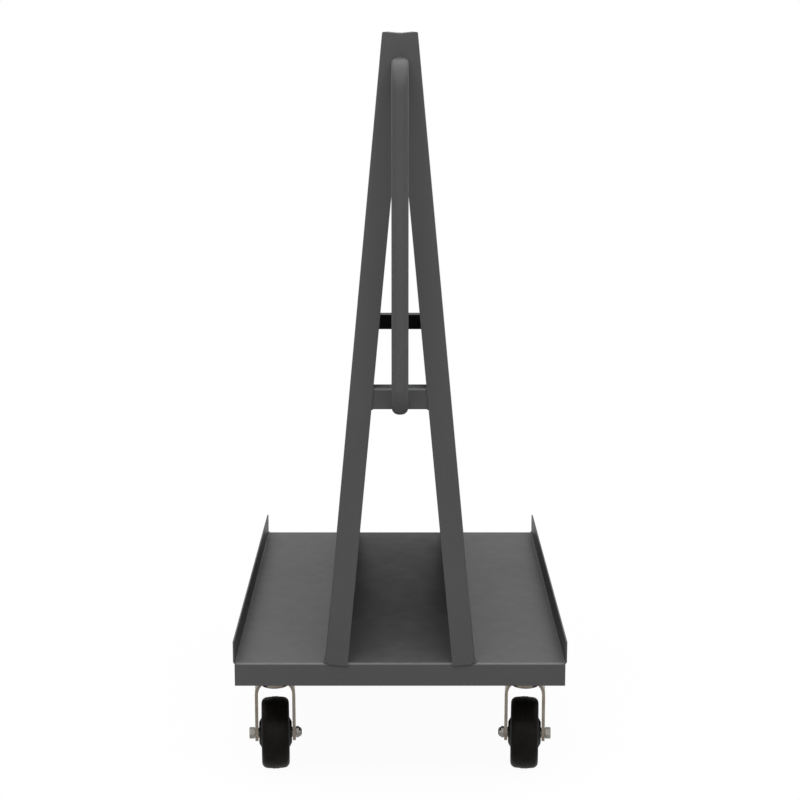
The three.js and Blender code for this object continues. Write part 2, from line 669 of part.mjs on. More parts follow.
// Axle, sleeve and wheel, in a group at the axle, with the bolt's head towards the cart's side
function addWheel(parent, prefix, side, axleY) {
  const wheel = addGroup(parent);
  wheel.position.set(0, axleY, AXLE_Z);
  wheel.rotation.z = side < 0 ? 0 : Math.PI;
  addPiece(wheel, `${prefix}_axle_bolt`, axleBolt(), zinc);
  addPiece(wheel, `${prefix}_axle_nut`, axleNut(), zinc);
  addPiece(wheel, `${prefix}_axle_sleeve`, axleSleeve(), zinc);
  addPiece(wheel, `${prefix}_wheel_hub`, wheelHub(), blackPlastic);
  addPiece(wheel, `${prefix}_tyre`, tyre(), rubber);
}

function addPlateBolts(parent, prefix) {
  plateBoltPlaces.forEach(([x, y], i) => {
    addPiece(parent, `${prefix}_plate_bolt_${i + 1}`, plateBolt(), zinc).position.set(x, y, 0);
  });
}

function addSwivelCaster(parent, prefix, side) {
  const caster = addGroup(parent);
  caster.position.set(side * CASTER_X, -CASTER_Y, 0);
  addPiece(caster, `${prefix}_top_plate`, topPlate(), zinc);
  addPiece(caster, `${prefix}_king_bolt`, kingBolt(), zinc);
  addPiece(caster, `${prefix}_king_nut`, kingNut(), zinc);
  addPiece(caster, `${prefix}_ball_race`, ballRace(), zinc);
  addPlateBolts(caster, prefix);
  const swivel = addGroup(caster);
  swivel.rotation.z = -side * SWIVEL_TURN;
  addPiece(swivel, `${prefix}_fork`, swivelFork(), zinc);
  addWheel(swivel, prefix, side, -SWIVEL_TRAIL);
}

function addRigidCaster(parent, prefix, side) {
  const caster = addGroup(parent);
  caster.position.set(side * CASTER_X, CASTER_Y, 0);
  addPiece(caster, `${prefix}_fork`, rigidFork(), zinc);
  addPlateBolts(caster, prefix);
  addWheel(caster, prefix, side, 0);
}

// The whole cart, with the deck's middle moved back so that the origin is under the whole
const group = new THREE.Group();
const cart = addGroup(group);
cart.position.y = HANDLE_FRONT / 2;

addPiece(cart, 'deck_pan', deckPan(), paint);
addPiece(cart, 'front_bolster', bolster(true), paint).position.y = -CASTER_Y;
addPiece(cart, 'rear_bolster', bolster(false), paint).position.y = CASTER_Y;

const leftPanel = addPiece(cart, 'left_side_panel', sidePanel(), paint);
leftPanel.position.setFromMatrixPosition(panelPlace);
leftPanel.rotation.y = LEAN;
const turnedRound = addGroup(cart);
turnedRound.rotation.z = Math.PI;
const rightPanel = addPiece(turnedRound, 'right_side_panel', sidePanel(), paint);
rightPanel.position.setFromMatrixPosition(panelPlace);
rightPanel.rotation.y = LEAN;

addPiece(cart, 'front_cross_angle', crossAngle(), paint);
addPiece(cart, 'rear_cross_angle', crossAngle(), paint).rotation.z = Math.PI;
addPiece(cart, 'push_handle', pushHandle(), paint);

addSwivelCaster(cart, 'front_left', -1);
addSwivelCaster(cart, 'front_right', 1);
addRigidCaster(cart, 'rear_left', -1);
addRigidCaster(cart, 'rear_right', 1);

export default group;
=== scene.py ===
# Looks of a sheet goods cart: finishes, smooth running gear and weld beads round its CAD frame.
# Metres, in the frame's axes. The handle end faces -Y and the floor is z = 0.
import json
import math

import bmesh
import bpy
from mathutils import Matrix, Vector


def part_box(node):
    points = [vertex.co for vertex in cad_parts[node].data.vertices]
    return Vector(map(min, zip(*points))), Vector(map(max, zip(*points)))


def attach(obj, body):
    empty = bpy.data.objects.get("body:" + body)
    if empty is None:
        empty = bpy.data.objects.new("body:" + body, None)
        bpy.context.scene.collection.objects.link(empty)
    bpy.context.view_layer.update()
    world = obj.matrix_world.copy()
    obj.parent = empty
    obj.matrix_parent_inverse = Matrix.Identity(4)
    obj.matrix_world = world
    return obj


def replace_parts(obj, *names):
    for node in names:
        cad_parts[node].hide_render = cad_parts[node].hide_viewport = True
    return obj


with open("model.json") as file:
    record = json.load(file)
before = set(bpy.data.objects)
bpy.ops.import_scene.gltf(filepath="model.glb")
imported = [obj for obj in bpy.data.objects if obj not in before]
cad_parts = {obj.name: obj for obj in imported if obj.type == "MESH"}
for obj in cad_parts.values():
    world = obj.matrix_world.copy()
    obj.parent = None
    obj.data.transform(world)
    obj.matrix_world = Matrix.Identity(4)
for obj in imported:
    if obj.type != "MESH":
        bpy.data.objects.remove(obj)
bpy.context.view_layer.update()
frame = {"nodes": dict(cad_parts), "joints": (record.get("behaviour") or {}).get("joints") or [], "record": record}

MM = 0.001
UP = Vector((0, 0, 1))
QUARTER_TURN = math.pi / 2

# Camera, fitted to the photograph with its middle as the principal point
CAMERA_PLACE = (0, -3.6873, 1.38183)
CAMERA_TILT = math.radians(78.86)
CAMERA_LENS = 84.54                # millimetres, as is the sensor's width
SENSOR_WIDTH = 36

# Light: each soft box has a name, place, aim, size and watts
FILL = 0.1                         # strength of the white world on the object
LAMPS = (
    ("overhead", (0, 0, 3.8), (0, 0, 0), (7, 4), 165),
    ("front_high", (0, -3, 4.2), (0, 0, 0.5), (4.5, 0.7), 92),
    ("front_mid", (0, -4.6, 2.2), (0, 0, 0.5), (4.5, 1.6), 32),
    ("back_high", (0, 2.6, 4.4), (0, 0, 0.4), (4.5, 1.6), 15),
)

# Floor
FLOOR_SIZE = 40
FLOOR_COLOUR = (0.62, 0.62, 0.62, 1)
WHITE = (1, 1, 1, 1)
SHADOW_NEAR = 0.5                  # from the cart's middle, where its shadow shows most
SHADOW_FAR = 1.6                   # and where the floor is plain white
SHADOW_GLOW = 0.96                 # share of plain white within the shadow

# Sheet metal
SHEET = 2.7 * MM
PANEL_FLANGE = 42 * MM
SHEET_EDGE = 0.35 * MM             # rounding of cut edges under the paint
PLATE_EDGE = 0.6 * MM
SHEET_NODES = (
    "deck_pan", "front_bolster", "rear_bolster", "left_side_panel", "right_side_panel",
    "front_cross_angle", "rear_cross_angle",
)

# Push handle
HANDLE_ELBOW = 38 * MM             # elbow radius at the tube's centre line
ELBOW_STEPS = 16
TUBE_SIDES = 56
ROUND_TUBE = 2.0                   # superellipse exponent of the straight tube
UPPER_ELBOW = 4.5                  # and of its elbows, flattened by bending
LOWER_ELBOW = 2.4

# Swivel and rigid forks
FORK_LEG = 5.8 * MM
FORK_EDGE = 2.2 * MM               # rounding of the fork's edges
FORK_CORNER = 30 * MM
RIGID_FORK_CORNER = 16 * MM
FORK_HALF_DEPTH = 27 * MM
FORK_SHOULDER = 14 * MM
FORK_END = 16 * MM
FORK_END_ANGLES = range(10, 100, 10)    # degrees round the lower half of a fork's end
FORK_SIDE_GAP = 1.5 * MM
PLATE_CORNER = 8 * MM
DISH_RADIUS = 27 * MM
DISH_ROUNDING = 2 * MM
RACE_RADIUS = 33 * MM
RACE_BORE = 20 * MM
RACE_SEAT = 3 * MM
RACE_ROUNDING = 0.8 * MM
RACE_GROOVE = 1 * MM               # height of the groove round the race
RACE_GROOVE_DEPTH = 2 * MM
CROWN_HEIGHT = 19.4 * MM           # dish and race seat together
CROWN_EASE = 0.6 * MM
SEAT_FILLET = 1.5 * MM
SEAT_ROUNDING = 1 * MM
NUT_POCKET_RADIUS = 15.6 * MM
NUT_POCKET_DEPTH = 8.3 * MM
KING_BOLT_RADIUS = 8 * MM
KING_NUT_FLATS = 24 * MM
KING_NUT_GAP = 0.1 * MM            # between the king bolt and its nut
SEAT_GAP = 0.3 * MM
CROWN_SIDES = 64

# Wheels
WHEEL_RADIUS = 68 * MM
TYRE_WIDTH = 52.4 * MM
TREAD_RADIUS = 130 * MM            # of the crown across the tread
TREAD_BAND = 13 * MM               # flat band round the middle of the tread
TREAD_STEP = 0.4 * MM              # and its height above the crown
TREAD_SHOULDER = 11 * MM
TYRE_EASE = 0.8 * MM               # chamfer of the tyre's inner edges
SHOULDER_STEPS = 9
CROWN_STEPS = 6
RIM_RADIUS = 52 * MM
RIM_EDGE = 4 * MM
RIM_FILLET = 1.5 * MM
RIM_ROUNDING = 0.8 * MM
RIM_EASE = 0.4 * MM
WEB_RECESS = 3.2 * MM
WEB_FILLET = 1 * MM
HUB_PROUD = 4.9 * MM
HUB_END_RADIUS = 20 * MM
HUB_END_ROUNDING = 3.5 * MM
HUB_FOOT_RADIUS = 29 * MM
HUB_FOOT_ROUNDING = 4 * MM
SLEEVE_RADIUS = 10 * MM
SLEEVE_EASE = 0.5 * MM
SLEEVE_GAP = 0.2 * MM              # between the sleeve and the hub
HUB_BORE = SLEEVE_RADIUS + SLEEVE_GAP
HUB_BORE_EASE = 0.5 * MM
RIB_COUNT = 8
RIB_WIDTH = 5 * MM
RIB_HEIGHT = 2.4 * MM              # ribs above the wheel's web
RIB_EDGE = 0.8 * MM
WHEEL_SIDES = 112

# Fasteners
HEX_SIDES = 6
HEX_STEPS = 6                      # points along each side of a hexagon
HEX_CIRCLE = 0.97                  # chamfer's circle, as a share of the distance across flats
HEX_CHAMFER = math.radians(30)
AXLE_RADIUS = 6.35 * MM
AXLE_BORE = AXLE_RADIUS + SEAT_GAP
AXLE_FLATS = 19 * MM
AXLE_HEAD = 11 * MM
AXLE_NUT = 9.8 * MM
AXLE_STUB = 1.5 * MM
LOCK_NUT_HEX = 0.62                # share of the nut's height that is a hexagon
LOCK_NUT_COLLAR = 0.47             # collar's radius, as a share of the distance across flats
COLLAR_ROUNDING = 2.2 * MM
COLLAR_EASE = 0.5 * MM
PLATE_BOLTS = 4                    # on each caster
PLATE_BOLT_RADIUS = 5 * MM
PLATE_BOLT_FLATS = 16 * MM
PLATE_BOLT_HEAD = 5 * MM
PLATE_BOLT_NUT = 8 * MM
PLATE_BOLT_STUB = 2.5 * MM
THREAD_PITCH = 1.5 * MM
THREAD_DEPTH = 0.7 * MM
BOLT_SIDES = 32
NUT_SIDES = 48

# Welds
FILLET_WELD = 2.6 * MM             # bead radius at feet and bolsters
FINE_WELD = 1.5 * MM               # at the cross angles
HANDLE_WELD = 2.1 * MM
CORNER_WELD = 4.2 * MM             # round the outer corners of the panels' feet
CORNER_WELD_LENGTH = 12 * MM
RIDGE_WELD = 3 * MM                # along the top of the A-frame
RIDGE_SINK = 0.72                  # share of the ridge bead's radius below the flanges
SEAM_HALF_WIDTH = 5 * MM           # flush bead between the panels' end flanges
SEAM_HEIGHT = 0.3 * MM
RIPPLE_PITCH = 3.2 * MM
RIPPLE_DEPTH = 0.09                # share of the bead's radius
RIPPLE_STEPS = 4                   # rings of points in each ripple
BEAD_STEPS = 8                     # fewest rings in a bead
BEAD_TIP = 0.1                     # share of the bead's radius left at its ends
BEAD_SIDES = 12
STITCH = 42 * MM
FOOT_STITCHES = 4
BOLSTER_STITCHES = 5

# Mesh making
ARC_STEPS = 6
EDGE_SEGMENTS = 3
ROUND_PROFILE = 0.5
MERGE = 0.02 * MM
FLAT_ANGLE = math.radians(0.4)
SHARP_ANGLE = math.radians(38)

# Noise in the finishes: features a metre, layers of detail and, where it is drawn out, its stretch
PAINT_CLOUDS = (4, 3)
PAINT_SPECKS = (900, 1)
PAINT_PATCHES = (35, 4)
PAINT_PEEL = ((420, 1), (1500, 1))
# patches in the painted highlight along the sheets' bends
BEND_HIGHLIGHT_PATCHES = (60, 3)
ZINC_CLOUDS = (55, 4)
ZINC_GRAIN = (600, 2, (1, 1, 0.12))
ZINC_PATCHES = (120, 3)
ZINC_SCRATCHES = ((900, 2, (1, 1, 0.08)), (260, 2))
MOULD_CLOUDS = (40, 5)
MOULD_PATCHES = (90, 4)
MOULD_DUST = (1100, 1)
MOULD_RIPPLES = (160, 2)
SKIN_DETAIL = 3

# Parts of a noise's range over which a tone or a roughness changes
CLOUDY = (0.3, 0.7)
SPECKLED = (0.25, 0.5)
GRAINY = (0.3, 0.6)

# Tones, gloss and relief of the finishes
GREY_DARK = (0.092, 0.092, 0.093)
GREY_LIGHT = (0.100, 0.100, 0.101)
# painted highlight: a lighter grey laid on sheet bends that face up and to either end
BEND_HIGHLIGHT_GREY = (0.2, 0.204, 0.214, 1)
BEND_HIGHLIGHT_SLANT = (0.2, 0.6)             # slants at which the painted bend highlight starts and is full, as sines of angles
BEND_HIGHLIGHT_SHARE = (0.8, 1)               # of the painted highlight's grey, from patch to patch
SPECK_TONE = 0.88                  # shares of full tone in specks, grain and dust
GRAIN_TONE = 0.88
DUST_TONE = 0.8
PAINT_ROUGHNESS = (0.42, 0.48)
PAINT_GLOSS = 0.07
ZINC_SPREAD = (-0.06, 0.08)        # of roughness, from patch to patch
MOULD_SPREAD = (-0.08, 0.1)
PAINT_BUMP = (0.22, 0.1 * MM)      # strength and depth
ZINC_BUMP = (0.1, 0.1 * MM)
MOULD_BUMP = (0.15, 0.15 * MM)

# Names and places taken from the frame
record = frame["record"]
BODY_OF = {node: body for body, nodes in record["behaviour"]["bodies"].items() for node in nodes}
JOINTS = {joint["name"]: joint for joint in frame["joints"]}
CORNERS = ("front_left", "front_right", "rear_left", "rear_right")
PANELS = ((-1, "left_side_panel"), (1, "right_side_panel"))

panel_low, panel_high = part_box("left_side_panel")
handle_low, handle_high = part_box("push_handle")
PANEL_ENDS = (("front", panel_low.y, -1), ("rear", panel_high.y, 1))
ANGLE_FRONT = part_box("front_cross_angle")[0].y
ANGLE_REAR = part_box("rear_cross_angle")[1].y
HANDLE_RADIUS = (handle_high.x - handle_low.x) / 2
HANDLE_UPPER = handle_high.z - HANDLE_RADIUS    # centre lines of the handle's two level ends
HANDLE_LOWER = handle_low.z + HANDLE_RADIUS
DECK_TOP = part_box("front_bolster")[1].z + SHEET
LEAN = math.asin(record["mounts"][0]["axis"][2])    # of the panels from upright
FORK_HALF_WIDTH = TYRE_WIDTH / 2 + HUB_PROUD + FORK_SIDE_GAP + FORK_LEG
AXLE_FACE = FORK_HALF_WIDTH + SEAT_GAP          # where an axle's head and nut sit


# Shader nodes

def new_material(name):
    """A node material: returns it, its tree and its principled shader."""
    material = bpy.data.materials.new(name)
    material.use_nodes = True
    tree = material.node_tree
    return material, tree, tree.nodes["Principled BSDF"]


def feed(tree, socket, value):
    """Links an output to a socket, or sets a plain value on it."""
    if isinstance(value, bpy.types.NodeSocket):
        tree.links.new(value, socket)
    else:
        socket.default_value = value


def noise(tree, scale, detail, stretch=(1, 1, 1)):
    """Noise in the object's own coordinates, so many features a metre; gives its factor output."""
    coordinates = tree.nodes.new("ShaderNodeTexCoord")
    mapping = tree.nodes.new("ShaderNodeMapping")
    mapping.inputs["Scale"].default_value = stretch
    texture = tree.nodes.new("ShaderNodeTexNoise")
    texture.inputs["Scale"].default_value = scale
    texture.inputs["Detail"].default_value = detail
    tree.links.new(coordinates.outputs["Object"], mapping.inputs["Vector"])
    tree.links.new(mapping.outputs["Vector"], texture.inputs["Vector"])
    return texture.outputs["Fac"]


def ramp(tree, factor, places, colours):
    """A ramp from one colour to another between two places of a factor."""
    node = tree.nodes.new("ShaderNodeValToRGB")
    for element, place, colour in zip(node.color_ramp.elements, places, colours):
        element.position = place
        element.color = (*colour, 1)
    tree.links.new(factor, node.inputs["Fac"])
    return node.outputs["Color"]


def toned(tree, factor, places, tone):
    """A grey ramp from the given tone up to white, to multiply a colour by."""
    return ramp(tree, factor, places, ((tone, tone, tone), (1, 1, 1)))


def mapped(tree, value, source, target, interpolation="LINEAR"):
    """An output mapped from one range to another, and held within it."""
    node = tree.nodes.new("ShaderNodeMapRange")
    node.interpolation_type = interpolation
    for name, limit in zip(("From Min", "From Max", "To Min", "To Max"), (*source, *target)):
        node.inputs[name].default_value = limit
    tree.links.new(value, node.inputs["Value"])
    return node.outputs["Result"]


def calculated(tree, operation, first, second=None):
    """One or two outputs put through a maths operation."""
    node = tree.nodes.new("ShaderNodeMath")
    node.operation = operation
    tree.links.new(first, node.inputs[0])
    if second is not None:
        tree.links.new(second, node.inputs[1])
    return node.outputs["Value"]


def mixed(tree, first, second, factor, blend="MIX"):
    """Two colours mixed; each of them, and the factor, is an output or a plain value."""
    node = tree.nodes.new("ShaderNodeMix")
    node.data_type = "RGBA"
    node.blend_type = blend
    feed(tree, node.inputs["Factor"], factor)
    feed(tree, node.inputs["A"], first)
    feed(tree, node.inputs["B"], second)
    return node.outputs["Result"]


def bumped(tree, heights, strength, distance):
    """A bump normal from a list of height outputs, each laid on the last."""
    normal = None
    for height in heights:
        node = tree.nodes.new("ShaderNodeBump")
        node.inputs["Strength"].default_value = strength
        node.inputs["Distance"].default_value = distance
        tree.links.new(height, node.inputs["Height"])
        if normal is not None:
            tree.links.new(normal, node.inputs["Normal"])
        normal = node.outputs["Normal"]
    return normal


def finish_surface(tree, shader, colour, tint, roughness, normal):
    """Gives a shader its colour, multiplied by a fine tint, and its roughness and bump."""
    tree.links.new(mixed(tree, colour, tint, 1, "MULTIPLY"), shader.inputs["Base Color"])
    tree.links.new(roughness, shader.inputs["Roughness"])
    tree.links.new(normal, shader.inputs["Normal"])


def seen_directly(tree):
    """1 for camera, glossy and transmission rays, which see the white background."""
    path = tree.nodes.new("ShaderNodeLightPath")
    total = path.outputs["Is Camera Ray"]
    for name in ("Is Glossy Ray", "Is Transmission Ray"):
        total = calculated(tree, "MAXIMUM", total, path.outputs[name])
    return total


# Finishes

def painted_bend_highlight(tree, colour):
    """Painted highlight: the colour made lighter, a little unevenly, along bends that face up and to either end,
    where the lamps' highlights fall.
    """
    coordinates = tree.nodes.new("ShaderNodeTexCoord")
    facing = tree.nodes.new("ShaderNodeSeparateXYZ")
    tree.links.new(coordinates.outputs["Normal"], facing.inputs["Vector"])
    endwards = calculated(tree, "ABSOLUTE", facing.outputs["Y"])
    slant = calculated(tree, "MINIMUM", endwards, facing.outputs["Z"])
    amount = mapped(tree, slant, BEND_HIGHLIGHT_SLANT, (0, 1))
    share = mapped(tree, noise(tree, *BEND_HIGHLIGHT_PATCHES), CLOUDY, BEND_HIGHLIGHT_SHARE)
    return mixed(tree, colour, BEND_HIGHLIGHT_GREY, calculated(tree, "MULTIPLY", amount, share))


def powder_coat(name, bend_highlight):
    """Satin grey powder coat: cloudy tone, fine specks and orange peel, and on sheets a painted highlight along
    bends.
    """
    material, tree, shader = new_material(name)
    cloud = ramp(tree, noise(tree, *PAINT_CLOUDS), CLOUDY, (GREY_DARK, GREY_LIGHT))
    if bend_highlight:
        # painted highlight along the sheets' bends
        cloud = painted_bend_highlight(tree, cloud)
    specks = toned(tree, noise(tree, *PAINT_SPECKS), SPECKLED, SPECK_TONE)
    roughness = mapped(tree, noise(tree, *PAINT_PATCHES), CLOUDY, PAINT_ROUGHNESS)
    peel = bumped(tree, [noise(tree, *layer) for layer in PAINT_PEEL], *PAINT_BUMP)
    finish_surface(tree, shader, cloud, specks, roughness, peel)
    shader.inputs["Specular IOR Level"].default_value = PAINT_GLOSS
    return material


def zinc(name, dark, light, rough):
    """Zinc plate with cloudy passivation, drawn along the metal."""
    material, tree, shader = new_material(name)
    cloud = ramp(tree, noise(tree, *ZINC_CLOUDS), CLOUDY, (dark, light))
    grain = toned(tree, noise(tree, *ZINC_GRAIN), GRAINY, GRAIN_TONE)
    limits = [rough + change for change in ZINC_SPREAD]
    roughness = mapped(tree, noise(tree, *ZINC_PATCHES), CLOUDY, limits)
    scratches = bumped(tree, [noise(tree, *layer) for layer in ZINC_SCRATCHES], *ZINC_BUMP)
    finish_surface(tree, shader, cloud, grain, roughness, scratches)
    shader.inputs["Metallic"].default_value = 1
    return material


def moulded(name, dark, light, rough, skin, gloss):
    """Black moulded rubber or plastic with a fine skin, so many features a metre, and a little dust."""
    material, tree, shader = new_material(name)
    cloud = ramp(tree, noise(tree, *MOULD_CLOUDS), CLOUDY, (dark, light))
    dust = toned(tree, noise(tree, *MOULD_DUST), GRAINY, DUST_TONE)
    limits = [rough + change for change in MOULD_SPREAD]
    roughness = mapped(tree, noise(tree, *MOULD_PATCHES), CLOUDY, limits)
    relief = bumped(tree, [noise(tree, skin, SKIN_DETAIL), noise(tree, *MOULD_RIPPLES)], *MOULD_BUMP)
    finish_surface(tree, shader, cloud, dust, roughness, relief)
    shader.inputs["Specular IOR Level"].default_value = gloss
    return material


PAINT = powder_coat("grey_powder_coat", bend_highlight=False)
# the sheets' coat has the painted highlight along its bends
SHEET_PAINT = powder_coat("grey_powder_coat_painted_bend_highlight", bend_highlight=True)
FORK_ZINC = zinc("warm_zinc", dark=(0.162, 0.138, 0.112), light=(0.228, 0.202, 0.170), rough=0.32)
BOLT_ZINC = zinc("bright_zinc", dark=(0.17, 0.16, 0.14), light=(0.27, 0.26, 0.24), rough=0.28)
RACE_STEEL = zinc("race_steel", dark=(0.22, 0.19, 0.16), light=(0.34, 0.30, 0.26), rough=0.42)
RUBBER = moulded(
    "black_rubber", dark=(0.0090, 0.0082, 0.0072), light=(0.015, 0.0135, 0.0118), rough=0.44, skin=1400,
    gloss=0.035,
)
HUB_PLASTIC = moulded(
    "black_hub", dark=(0.008, 0.0076, 0.007), light=(0.014, 0.013, 0.012), rough=0.44, skin=900, gloss=0.035
)


# Mesh makers

def angles_round(count):
    """Evenly spaced angles round a circle."""
    return [2 * math.pi * i / count for i in range(count)]


def rounded_outline(corners, closed=True):
    """Points of an outline whose corners, each (x, y, radius), are arcs."""
    points = []
    last = len(corners) - 1
    for i, (x, y, radius) in enumerate(corners):
        here = Vector((x, y))
        if radius == 0 or (not closed and i in (0, last)):
            points.append(here)
            continue
        before = (Vector(corners[i - 1][:2]) - here).normalized()
        after = (Vector(corners[(i + 1) % len(corners)][:2]) - here).normalized()
        half = before.angle(after) / 2
        start = here + before * (radius / math.tan(half))
        centre = here + (before + after).normalized() * (radius / math.sin(half))
        turn = math.pi - 2 * half
        if before.x * after.y - before.y * after.x > 0:
            turn = -turn
        for step in range(ARC_STEPS + 1):
            points.append(centre + Matrix.Rotation(turn * step / ARC_STEPS, 2) @ (start - centre))
    return points


def superellipse(radius, exponent, sides):
    """Points round a section between a circle and a square."""
    points = []
    for angle in angles_round(sides):
        x, y = math.cos(angle), math.sin(angle)
        reach = (abs(x) ** exponent + abs(y) ** exponent) ** (-1 / exponent)
        points.append((radius * reach * x, radius * reach * y))
    return points


def bridge(bm, ring, following):
    """Faces between two rings; a ring of one vertex makes a fan."""
    count = max(len(ring), len(following))
    for i in range(count):
        j = (i + 1) % count
        if len(ring) == 1:
            bm.faces.new((ring[0], following[j], following[i]))
        elif len(following) == 1:
            bm.faces.new((ring[i], ring[j], following[0]))
        else:
            bm.faces.new((ring[i], ring[j], following[j], following[i]))


def loft(bm, rings, closed=False):
    """A skin over rings of points, capped at both ends unless the rings close on themselves."""
    made = [[bm.verts.new(point) for point in ring] for ring in rings]
    for ring, following in zip(made, made[1:]):
        bridge(bm, ring, following)
    if closed:
        bridge(bm, made[-1], made[0])
        return
    for ring in (made[0], made[-1]):
        if len(ring) > 2:
            bm.faces.new(ring)


def lathe(bm, profile, sides, place):
    """Turns (radius, height) points round Z; the profile runs from axis to axis or closes."""
    angles = angles_round(sides)
    rings = []
    for radius, height in profile:
        if radius == 0:
            rings.append([place @ Vector((0, 0, height))])
        else:
            rings.append([
                place @ Vector((radius * math.cos(a), radius * math.sin(a), height)) for a in angles
            ])
    loft(bm, rings, closed=profile[0][0] > 0)


def hexagon(bm, flats, low, high, place, bore=0.0):
    """A hexagon nut or head along Z with chamfered corners; with a bore it is a ring."""
    circle = HEX_CIRCLE * flats / 2
    side = 2 * math.pi / HEX_SIDES
    slope = math.tan(HEX_CHAMFER)

    def ring(height, radius=None, chamfer=0.0):
        """Points round a circle or, with no radius, round the hexagon, chamfered outside its circle."""
        points = []
        for angle in angles_round(HEX_SIDES * HEX_STEPS):
            corner = flats / 2 / math.cos(angle % side - side / 2)
            reach = corner if radius is None else radius
            z = height + chamfer * max(0, corner - circle)
            points.append(place @ Vector((reach * math.cos(angle), reach * math.sin(angle), z)))
        return points

    rings = [ring(low, circle), ring(low, chamfer=slope), ring(high, chamfer=-slope), ring(high, circle)]
    if bore:
        rings += [ring(high, bore), ring(low, bore)]
    loft(bm, rings, closed=bore > 0)


def threaded(bm, radius, low, high, place, bare):
    """A rod along Z, plain for the bare length from its low end and threaded above it."""
    profile = [(0, low), (radius, low), (radius, low + bare)]
    height = low + bare
    while height + THREAD_PITCH < high:
        profile.append((radius - THREAD_DEPTH, height + THREAD_PITCH / 2))
        profile.append((radius, height + THREAD_PITCH))
        height += THREAD_PITCH
    profile += [(radius - THREAD_DEPTH, high), (0, high)]
    lathe(bm, profile, BOLT_SIDES, place)


def join(bm, other):
    """Adds another mesh's faces to a mesh and frees the other."""
    mesh = bpy.data.meshes.new("joined")
    other.to_mesh(mesh)
    other.free()
    bm.from_mesh(mesh)
    bpy.data.meshes.remove(mesh)


def round_edges(bm, width):
    """Rounds every sharp edge."""
    edges = [e for e in bm.edges if e.is_manifold and e.calc_face_angle() > SHARP_ANGLE]
    bmesh.ops.bevel(
        bm, geom=edges, offset=width, segments=EDGE_SEGMENTS, profile=ROUND_PROFILE, affect="EDGES",
        clamp_overlap=True,
    )


def add_piece(name, bm, material, node):
    """A piece from a mesh, smooth except at its sharp edges, that rides with a CAD node."""
    bmesh.ops.recalc_face_normals(bm, faces=bm.faces)
    for face in bm.faces:
        face.smooth = True
    for edge in bm.edges:
        edge.smooth = edge.is_manifold and edge.calc_face_angle() < SHARP_ANGLE
    mesh = bpy.data.meshes.new(name)
    bm.to_mesh(mesh)
    bm.free()
    mesh.materials.append(material)
    piece = bpy.data.objects.new(name, mesh)
    bpy.context.scene.collection.objects.link(piece)
    shading = piece.modifiers.new("shading", "WEIGHTED_NORMAL")
    shading.keep_sharp = True
    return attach(piece, BODY_OF[node])


def stand_for(node, bm, material):
    """A piece that is shown in a CAD node's place."""
    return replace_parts(add_piece(node + "_finished", bm, material, node), node)


def eased_copy(node, edge):
    """A CAD node's own shape with its flat facets joined and its edges eased."""
    bm = bmesh.new()
    bm.from_mesh(frame["nodes"][node].data)
    bmesh.ops.remove_doubles(bm, verts=bm.verts, dist=MERGE)
    bmesh.ops.dissolve_limit(bm, angle_limit=FLAT_ANGLE, verts=bm.verts, edges=bm.edges)
    round_edges(bm, edge)
    return bm


# Sheet metal and handle

def sheet_pieces():
    """The folded sheets, with the edges of their CAD shapes eased."""
    for node in SHEET_NODES:
        stand_for(node, eased_copy(node, SHEET_EDGE), SHEET_PAINT)


def push_handle():
    """The bent tube: straight legs, two elbows and a section that flattens in them."""
    front = handle_low.y + HANDLE_RADIUS
    stations = [(panel_low.y, HANDLE_UPPER, 0, UPPER_ELBOW)]
    for centre_z, start, first, last in (
        (HANDLE_UPPER - HANDLE_ELBOW, 0, UPPER_ELBOW, ROUND_TUBE),
        (HANDLE_LOWER + HANDLE_ELBOW, QUARTER_TURN, ROUND_TUBE, LOWER_ELBOW),
    ):
        for step in range(ELBOW_STEPS + 1):
            share = step / ELBOW_STEPS
            along = start + QUARTER_TURN * share
            y = front + HANDLE_ELBOW * (1 - math.sin(along))
            z = centre_z + HANDLE_ELBOW * math.cos(along)
            stations.append((y, z, along, first + (last - first) * share))
    stations.append((ANGLE_FRONT, HANDLE_LOWER, math.pi, LOWER_ELBOW))
    rings = []
    for y, z, along, exponent in stations:
        across = Vector((0, -math.sin(along), math.cos(along)))
        section = superellipse(HANDLE_RADIUS, exponent, TUBE_SIDES)
        rings.append([Vector((x, y, z)) + across * offset for x, offset in section])
    bm = bmesh.new()
    loft(bm, rings)
    stand_for("push_handle", bm, PAINT)


# Wheels

def caster_place(corner):
    """Matrix from a caster's own axes, on the floor below its plate, to the frame."""
    wheel = JOINTS[corner + "_wheel_spin"]
    across = Vector(wheel["axis"])
    turn = Matrix.Rotation(math.atan2(across.y, across.x), 4, "Z")
    swivel = JOINTS.get(corner + "_swivel_turn", wheel)["pos_m"]
    return Matrix.Translation((swivel[0], swivel[1], 0)) @ turn


def axle_place(corner):
    """Matrix from a wheel's own axes, with Z along the axle towards the bolt's head, to the frame."""
    wheel = JOINTS[corner + "_wheel_spin"]
    outwards = Vector(wheel["axis"]) * (-1 if "left" in corner else 1)
    return Matrix.Translation(wheel["pos_m"]) @ outwards.to_track_quat("Z", "Y").to_matrix().to_4x4()


def mirrored(half):
    """A wheel's closed profile from its half at positive heights, innermost point first."""
    return [(radius, -height, *rest) for radius, height, *rest in half] + half[::-1]


